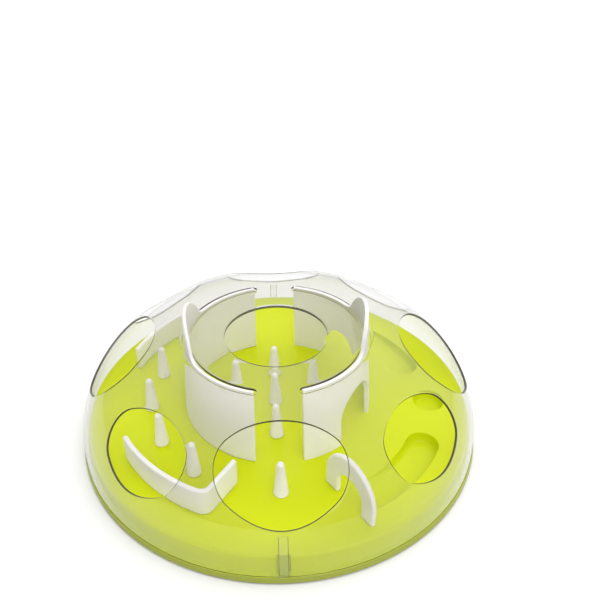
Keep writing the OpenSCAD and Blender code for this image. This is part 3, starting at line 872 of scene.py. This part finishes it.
def strip_wall(line, thick, low, high):
    """A closed upright wall along a plan line: both sides are the line moved by half the thickness
    along its normal."""
    run = np.gradient(line, axis=0)
    run = run / np.linalg.norm(run, axis=1)[:, None]
    normal = np.stack([-run[:, 1], run[:, 0]], -1) * thick / 2
    shape = (5, len(line))
    z = np.broadcast_to(np.linspace(low, high, shape[0])[:, None], shape)
    sides = [np.broadcast_to(line + s * normal, shape + (2,)) for s in (-1, 1)]
    return slab_patches(*[at_height(side, z) for side in sides])


def barrier(name, line, pins, body, node):
    """A barrier's strip and its pins on one body; the strip stands for the node."""
    wall = strip_wall(line, BARRIER_T, FOOT_Z, FLOOR_Z + BARRIER_H)
    strip = white_piece(name, wall, body, bevel=1.5, steps=4)
    white_piece(name + "_pins", [turned(pin_outline, p, PIN_SIDES) for p in pins], body)
    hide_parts(node)


print("barrier strip:", BARRIER_T, "mm thick,", BARRIER_H, "mm high")

# %% [markdown]
# The corner barrier's line is an arc, a small fillet at the corner and a straight arm. Without the
# fillet the strip would be pinched there, because a point of the line moves along one normal only.

# %% Corner barrier
CORNER_OUT_R, CORNER_FROM, CORNER_TO, PIN_FROM_END = 157, -150.5, -113, 12
ARM_TURN, ARM_LONG, ARM_PIN, FILLET = 56.5, 41, 29, 7.0
pin_turn = math.degrees(PIN_FROM_END / CORNER_OUT_R)
corner_r = CORNER_OUT_R - BARRIER_T / 2
arc_part = polar(np.full(60, corner_r), np.linspace(CORNER_FROM, CORNER_TO, 60))
arm_way, corner_at = polar(1, ARM_TURN), arc_part[-1]
arc_kept = arc_part[np.linalg.norm(arc_part - corner_at, axis=1) > FILLET]
share = np.linspace(0, 1, 12)[:, None]
bend_from, bend_to = arc_kept[-1], corner_at + FILLET * arm_way
corner_bend = ((1 - share) ** 2 * bend_from + 2 * share * (1 - share) * corner_at
               + share ** 2 * bend_to)
arm_part = corner_at + np.linspace(FILLET, ARM_LONG, 14)[:, None] * arm_way
corner_line = np.vstack([arc_kept[:-1], corner_bend[:-1], arm_part])
corner_pins = [polar(corner_r, CORNER_FROM + pin_turn), polar(corner_r, CORNER_TO - 2 * pin_turn),
               corner_at + ARM_PIN * arm_way]
barrier("corner_strip", corner_line, corner_pins, "corner_barrier_body", "corner_barrier")

# %% [markdown]
# The rear barrier is the same strip along a plain arc, so only its line and its two pins are new.

# %% Rear barrier
REAR_OUT_R, REAR_FROM, REAR_TO = 154, 126, 161
rear_r = REAR_OUT_R - BARRIER_T / 2
rear_line = polar(np.full(60, rear_r), np.linspace(REAR_FROM, REAR_TO, 60))
rear_pins = [polar(rear_r, REAR_FROM + pin_turn), polar(rear_r, REAR_TO - pin_turn)]
barrier("rear_strip", rear_line, rear_pins, "rear_barrier_body", "rear_barrier")

# %% [markdown]
# The arch gate is a flat plate: a band between two arches. Both arches are sampled in step, up one
# leg, round and down the other, so straight lines between them fill the plate. That keeps the
# curves smooth where a cut hole would have corners, and Bevel then softens the edges.

# %% Arch gate
GATE_W, GATE_H, GATE_LEG, GATE_OPEN_W, GATE_OPEN_H = 59.0, 45.5, 15.5, 29.5, 27.5
GATE_TURN, GATE_FROM, GATE_IN = -57.5, -71.0, 71.5
gate_at = polar(SKIRT_R - GATE_IN, GATE_FROM)
gate_way, gate_side = polar(1, GATE_TURN), polar(1, GATE_TURN + 90)


def arch_curve(start, width, height):
    """An arch seen flat: up a leg, round a half circle as wide as the arch, and down the other
    leg."""
    radius = width / 2
    leg = np.linspace(FOOT_Z - FLOOR_Z, height - radius, 8)[:-1]
    bow = arc(start + radius, height - radius, radius, np.pi, 0, 49)
    up_leg = np.stack([np.full_like(leg, start), leg], -1)
    down_leg = np.stack([np.full_like(leg, start + width), leg[::-1]], -1)
    return np.vstack([up_leg, bow, down_leg])


def on_gate(flat, back):
    """A flat (along, up) point set on the plate, a distance back from its front face."""
    return at_height(gate_at + flat[..., :1] * gate_way + back * gate_side, FLOOR_Z + flat[..., 1])


share = np.linspace(0, 1, 5)[:, None, None]
inner_arch = arch_curve(GATE_LEG, GATE_OPEN_W, GATE_OPEN_H)
gate_flat = inner_arch * (1 - share) + arch_curve(0, GATE_W, GATE_H) * share
gate_faces = [on_gate(gate_flat, back) for back in (0.0, BARRIER_T)]
gate = white_piece("arch_gate_plate", slab_patches(*gate_faces), "arch_gate_body",
                   bevel=1.4, steps=4)
leg_middles = (GATE_LEG / 2, (GATE_LEG + GATE_OPEN_W + GATE_W) / 2)
gate_pins = [gate_at + along * gate_way + BARRIER_T / 2 * gate_side for along in leg_middles]
white_piece("arch_gate_pins", [turned(pin_outline, p, PIN_SIDES) for p in gate_pins],
            "arch_gate_body")
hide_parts("arch_gate")

# %% [markdown]
# Six rubber feet are pressed into posts under the tray. Each is a small disc with a rounded lower
# edge and a shallow hollow in its underside, so it is turned like the pegs.

# %% Rubber feet
FOOT_R, FOOT_ROUND, FOOT_TOP, FOOT_IN = 7, 0.8, 2.9, 10.8
foot_edge = arc(FOOT_R - FOOT_ROUND, FOOT_ROUND, FOOT_ROUND, -np.pi / 2, 0, 6)
foot_hollow = [[0, 0.5], [2.5, 0.45], [4, 0.1], [4.6, 0.0]]
foot_outline = np.vstack([foot_hollow, foot_edge, [[FOOT_R, FOOT_TOP], [0, FOOT_TOP]]])
foot_places = polar(np.full(6, SIDE_R - FOOT_IN), -60 + 60 * np.arange(6))
for number, place in enumerate(foot_places, 1):
    foot = make_piece(f"foot_{number}_pad", [turned(foot_outline, place)], foot_rubber,
                      "tray", "foot_rubber")
    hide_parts(f"foot_{number}")

# %% [markdown]
# The tray is one thin moulded skin, so only its upper face is drawn and Solidify adds the wall.
# Two troughs and a round cup are sunk into its floor. A hollow is a grid between its outline and
# its spine: the wall starts with a small round edge and then falls as a quarter of an ellipse.

# %% Hollow shape
TROUGH_HALF, TROUGH_DEEP, EDGE_ROUND, WALL_RUN, FLAT_HALF = 14.5, 9.5, 0.6, 3.2, 3
MOUTH_HALF = TROUGH_HALF + EDGE_ROUND


def hollow(edge, spine, depth, closed=False):
    """Point = edge + (spine - edge) x inward share; height = floor - depth x profile, round edge
    then quarter ellipse."""
    lip, fall = np.linspace(0, np.pi / 2, 5), np.linspace(0, np.pi / 2, 11)[1:]
    drop_lip = EDGE_ROUND / TROUGH_DEEP
    inward = np.concatenate([EDGE_ROUND * np.sin(lip), EDGE_ROUND + WALL_RUN * (1 - np.cos(fall)),
                             [MOUTH_HALF - FLAT_HALF, MOUTH_HALF]]) / MOUTH_HALF
    drop = np.concatenate([drop_lip * (1 - np.cos(lip)),
                           drop_lip + (1 - drop_lip) * np.sin(fall), [1, 1]])
    plan = edge + (spine - edge) * inward[:, None, None]
    return sheet_patch(at_height(plan, FLOOR_Z - drop[:, None] * depth), closed)


print("hollow:", 2 * MOUTH_HALF, "mm wide,", TROUGH_DEEP, "mm deep")

# %% [markdown]
# A trough runs along an arc, from a round deep end to where its floor meets the play floor. It
# gets shallower on a curve that is steepest there, because a straight ramp would leave too little
# depth along the run. The cup is the same hollow round one point.

# %% Troughs and cup
TROUGH_R, REAR_TROUGH_R, RAMP_POWER, END_COUNT, CUP_COUNT = 146.5, 137.5, 0.6, 41, 72
FRONT_RUN, REAR_RUN, CUP_TURN = (-29, -33), (18, 36), -5


def trough_lines(radius, deep, sweep):
    """A trough's outline, spine and depth: along the inner side, round the deep end, and back along
    the outer side."""
    run = np.linspace(deep + sweep, deep, 60)
    centre = polar(radius, deep)
    end_turn = deep + 180 + np.sign(sweep) * np.linspace(0, 180, END_COUNT)
    edge = np.vstack([polar(radius - MOUTH_HALF, run)[:-1], centre + polar(MOUTH_HALF, end_turn),
                      polar(radius + MOUTH_HALF, run[::-1])[1:]])
    spine = np.vstack([polar(radius, run)[:-1], np.repeat(centre[None], END_COUNT, 0),
                       polar(radius, run[::-1])[1:]])
    full_run = math.sin(math.radians(abs(sweep)))
    ramp = (np.sin(np.radians(np.abs(run - run[0]))) / full_run) ** RAMP_POWER
    depth = TROUGH_DEEP * np.concatenate([ramp[:-1], np.ones(END_COUNT), ramp[::-1][1:]])
    return edge, spine, depth


front_trough = trough_lines(TROUGH_R, *FRONT_RUN)
rear_trough = trough_lines(REAR_TROUGH_R, *REAR_RUN)
cup_middle = polar(TROUGH_R, CUP_TURN)
cup_edge = cup_middle + polar(MOUTH_HALF, np.linspace(0, 360, CUP_COUNT, endpoint=False))
cup_patch = hollow(cup_edge, np.repeat(cup_middle[None], CUP_COUNT, 0),
                   np.full(CUP_COUNT, TROUGH_DEEP), closed=True)
hollow_patches = [hollow(*front_trough), hollow(*rear_trough), cup_patch]
print("hollows:", len(hollow_patches))

# %% [markdown]
# Every plug has its socket in the play floor. A socket is its outline carried down in a few steps:
# a small lead-in, a straight wall and a flat bottom. The same outlines are holes in the floor, so
# floor and sockets share their edges and no boolean is needed.

# %% Sockets
LEAD_IN, SOCKET_DEEP = 0.4, 4.5
WALL_GAP, MOUTH_GAP, PEG_MOUTH_GAP = 0.3, 0.6, 0.7


def round_outline(place, radius):
    """A circle in plan."""
    return np.asarray(place) + polar(radius, np.linspace(0, 360, 28, endpoint=False))


def tab_outline(middle, grow):
    """A short piece of ring in plan, grown by a clearance on every side."""
    half = math.degrees((TAB_HALF + grow) / WELL_R)
    out_turn = np.linspace(middle - half, middle + half, 9)
    return np.vstack([polar(TAB_OUT_R + grow, out_turn), polar(TAB_IN_R - grow, out_turn[::-1])])


def socket(wide, narrow):
    """Rows: the wide mouth at floor level, the narrow wall under it, its lower edge, and the middle
    of the bottom."""
    middle = np.repeat(narrow.mean(0)[None], len(narrow), 0)
    levels = zip((wide, narrow, narrow, middle), (0, LEAD_IN, SOCKET_DEEP, SOCKET_DEEP))
    rows = [at_height(line, np.full(len(line), FLOOR_Z - depth)) for line, depth in levels]
    return sheet_patch(np.stack(rows), closed=True)


pin_places = corner_pins + rear_pins + gate_pins
tab_places = [turn + middle for turn in (0, 180) for middle in TAB_TURNS]
mouths = [(round_outline(p, PLUG_R + PEG_MOUTH_GAP), round_outline(p, PLUG_R + WALL_GAP))
          for p in peg_places]
mouths += [(round_outline(p, PIN_R + MOUTH_GAP), round_outline(p, PIN_R + WALL_GAP))
           for p in pin_places]
mouths += [(tab_outline(t, MOUTH_GAP), tab_outline(t, WALL_GAP)) for t in tab_places]
socket_patches = [socket(wide, narrow) for wide, narrow in mouths]
print("sockets:", len(socket_patches))

# %% [markdown]
# Round the floor comes the shoulder, the upright side, the ledge that the cover stands on and the
# rim. Those are turned on a lathe, apart from a shallow notch for each snap tongue: there the
# radius is held back, between two columns set close together so that its sides stay upright.

# %% Tray side
SHOULDER, SIDE_MID_Z, COVE, RIM_ROUND, RIM_IN = 3.0, 12, 0.8, 0.9, 1.5
NOTCH_HALF, NOTCH_DEEP, NOTCH_STEP, NOTCH_TURN = 5.1, 1.6, 0.04, 3
shoulder = arc(SIDE_R - SHOULDER, FLOOR_Z - SHOULDER, SHOULDER, np.pi / 2, 0, 9)
cove = arc(SIDE_R + COVE, LEDGE_Z + COVE, COVE, np.pi, 1.5 * np.pi, 5)
rim_edge = arc(RIM_R - RIM_IN, LEDGE_Z - RIM_ROUND, RIM_ROUND, np.pi / 2, 0, 6)
rim_foot = [[RIM_R, RIM_Z + 0.3], [RIM_R - 0.4, RIM_Z]]
side_outline = np.vstack([shoulder, [[SIDE_R, SIDE_MID_Z]], cove, rim_edge, rim_foot])
notch_half = math.degrees(NOTCH_HALF / SIDE_R)
notch_columns = np.array([-notch_half - NOTCH_STEP, -notch_half, 0,
                          notch_half, notch_half + NOTCH_STEP])
plain_columns = np.linspace(-90 + NOTCH_TURN, 90 - NOTCH_TURN, 175)
side_columns = np.concatenate([-90 + notch_columns, plain_columns,
                               90 + notch_columns, plain_columns + 180])


def tray_side():
    """Radius and height from the turned outline; in a notch the radius above the ledge is at most
    the notch's own."""
    radius = np.repeat(side_outline[:, :1], len(side_columns), 1)
    z = np.repeat(side_outline[:, 1:], len(side_columns), 1)
    off_middle = np.minimum(np.abs(side_columns + 90), np.abs(side_columns - 90))
    in_notch = (off_middle <= notch_half + NOTCH_STEP / 4) & (z > LEDGE_Z + 0.1)
    radius = np.where(in_notch, np.minimum(radius, SIDE_R - NOTCH_DEEP), radius)
    plan = polar(radius, np.broadcast_to(side_columns, radius.shape))
    return sheet_patch(at_height(plan, z), closed=True)


side_patch = tray_side()
print("side points:", len(side_patch[0]))

# %% [markdown]
# The play floor is flat but full of holes, so it is no grid: a constrained triangulation keeps
# every outline as edges, and the triangles that fall inside a hole are left out.

# %% Play floor


def inside(points, outline):
    """True where a level line to the right of a point crosses the outline an odd number of
    times."""
    a, b = outline, np.roll(outline, -1, 0)
    x, y = points[:, :1], points[:, 1:]
    spans = (a[:, 1] > y) != (b[:, 1] > y)
    rise = np.where(b[:, 1] == a[:, 1], 1, b[:, 1] - a[:, 1])
    return (spans & (x < a[:, 0] + (y - a[:, 1]) / rise * (b[:, 0] - a[:, 0]))).sum(1) % 2 == 1


def flat_floor(outer, holes):
    """The level floor: a constrained triangulation of all the outlines, without the triangles that
    lie in a hole."""
    loops = [outer] + holes
    starts = np.cumsum([0] + [len(line) for line in loops[:-1]])
    edges = np.vstack([np.stack([np.arange(len(line)), np.roll(np.arange(len(line)), -1)], -1) + s
                       for line, s in zip(loops, starts)])
    points = [Vector(p) for p in np.vstack(loops)]
    corners, _, faces, *_ = delaunay_2d_cdt(points, edges.tolist(), [], 2, 1e-6)
    plan, faces = np.array([tuple(c) for c in corners]), np.array(faces)
    middles = plan[faces].mean(1)
    kept = ~np.any([inside(middles, hole) for hole in holes], axis=0) & inside(middles, outer)
    return at_height(plan, np.full(len(plan), FLOOR_Z)), faces[kept]


floor_edge = polar(SIDE_R - SHOULDER, side_columns)
floor_holes = [front_trough[0], rear_trough[0], cup_edge] + [wide for wide, _ in mouths]
floor_patch = flat_floor(floor_edge, floor_holes)
print("floor triangles:", len(floor_patch[1]))

# %% [markdown]
# Floor, side, hollows and sockets share their edges, so they join into one skin, as the real tray
# is one moulding. Solidify adds its wall on the underside.

# %% Whole tray
TRAY_WALL = 2.6
tray = make_piece("tray_skin", [floor_patch, side_patch] + hollow_patches + socket_patches,
                  tray_green, "tray", "tray_green", wall=TRAY_WALL, even=False)
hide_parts("base_tray")

# %% [markdown]
# Six posts hang under the tray's floor and hold the rubber feet. Each is turned, with a shallow
# seat for its foot in its lower end.

# %% Foot posts
POST_R, POST_TOP, SEAT_R, SEAT_Z = 9, 23.4, 7.3, 3.1
post_outline = [[0, SEAT_Z], [SEAT_R, SEAT_Z], [SEAT_R, RIM_Z], [POST_R - 0.4, RIM_Z],
                [POST_R, RIM_Z + 0.4], [POST_R, POST_TOP], [0, POST_TOP]]
make_piece("foot_posts", [turned(post_outline, p) for p in foot_places], tray_green,
           "tray", "tray_green")
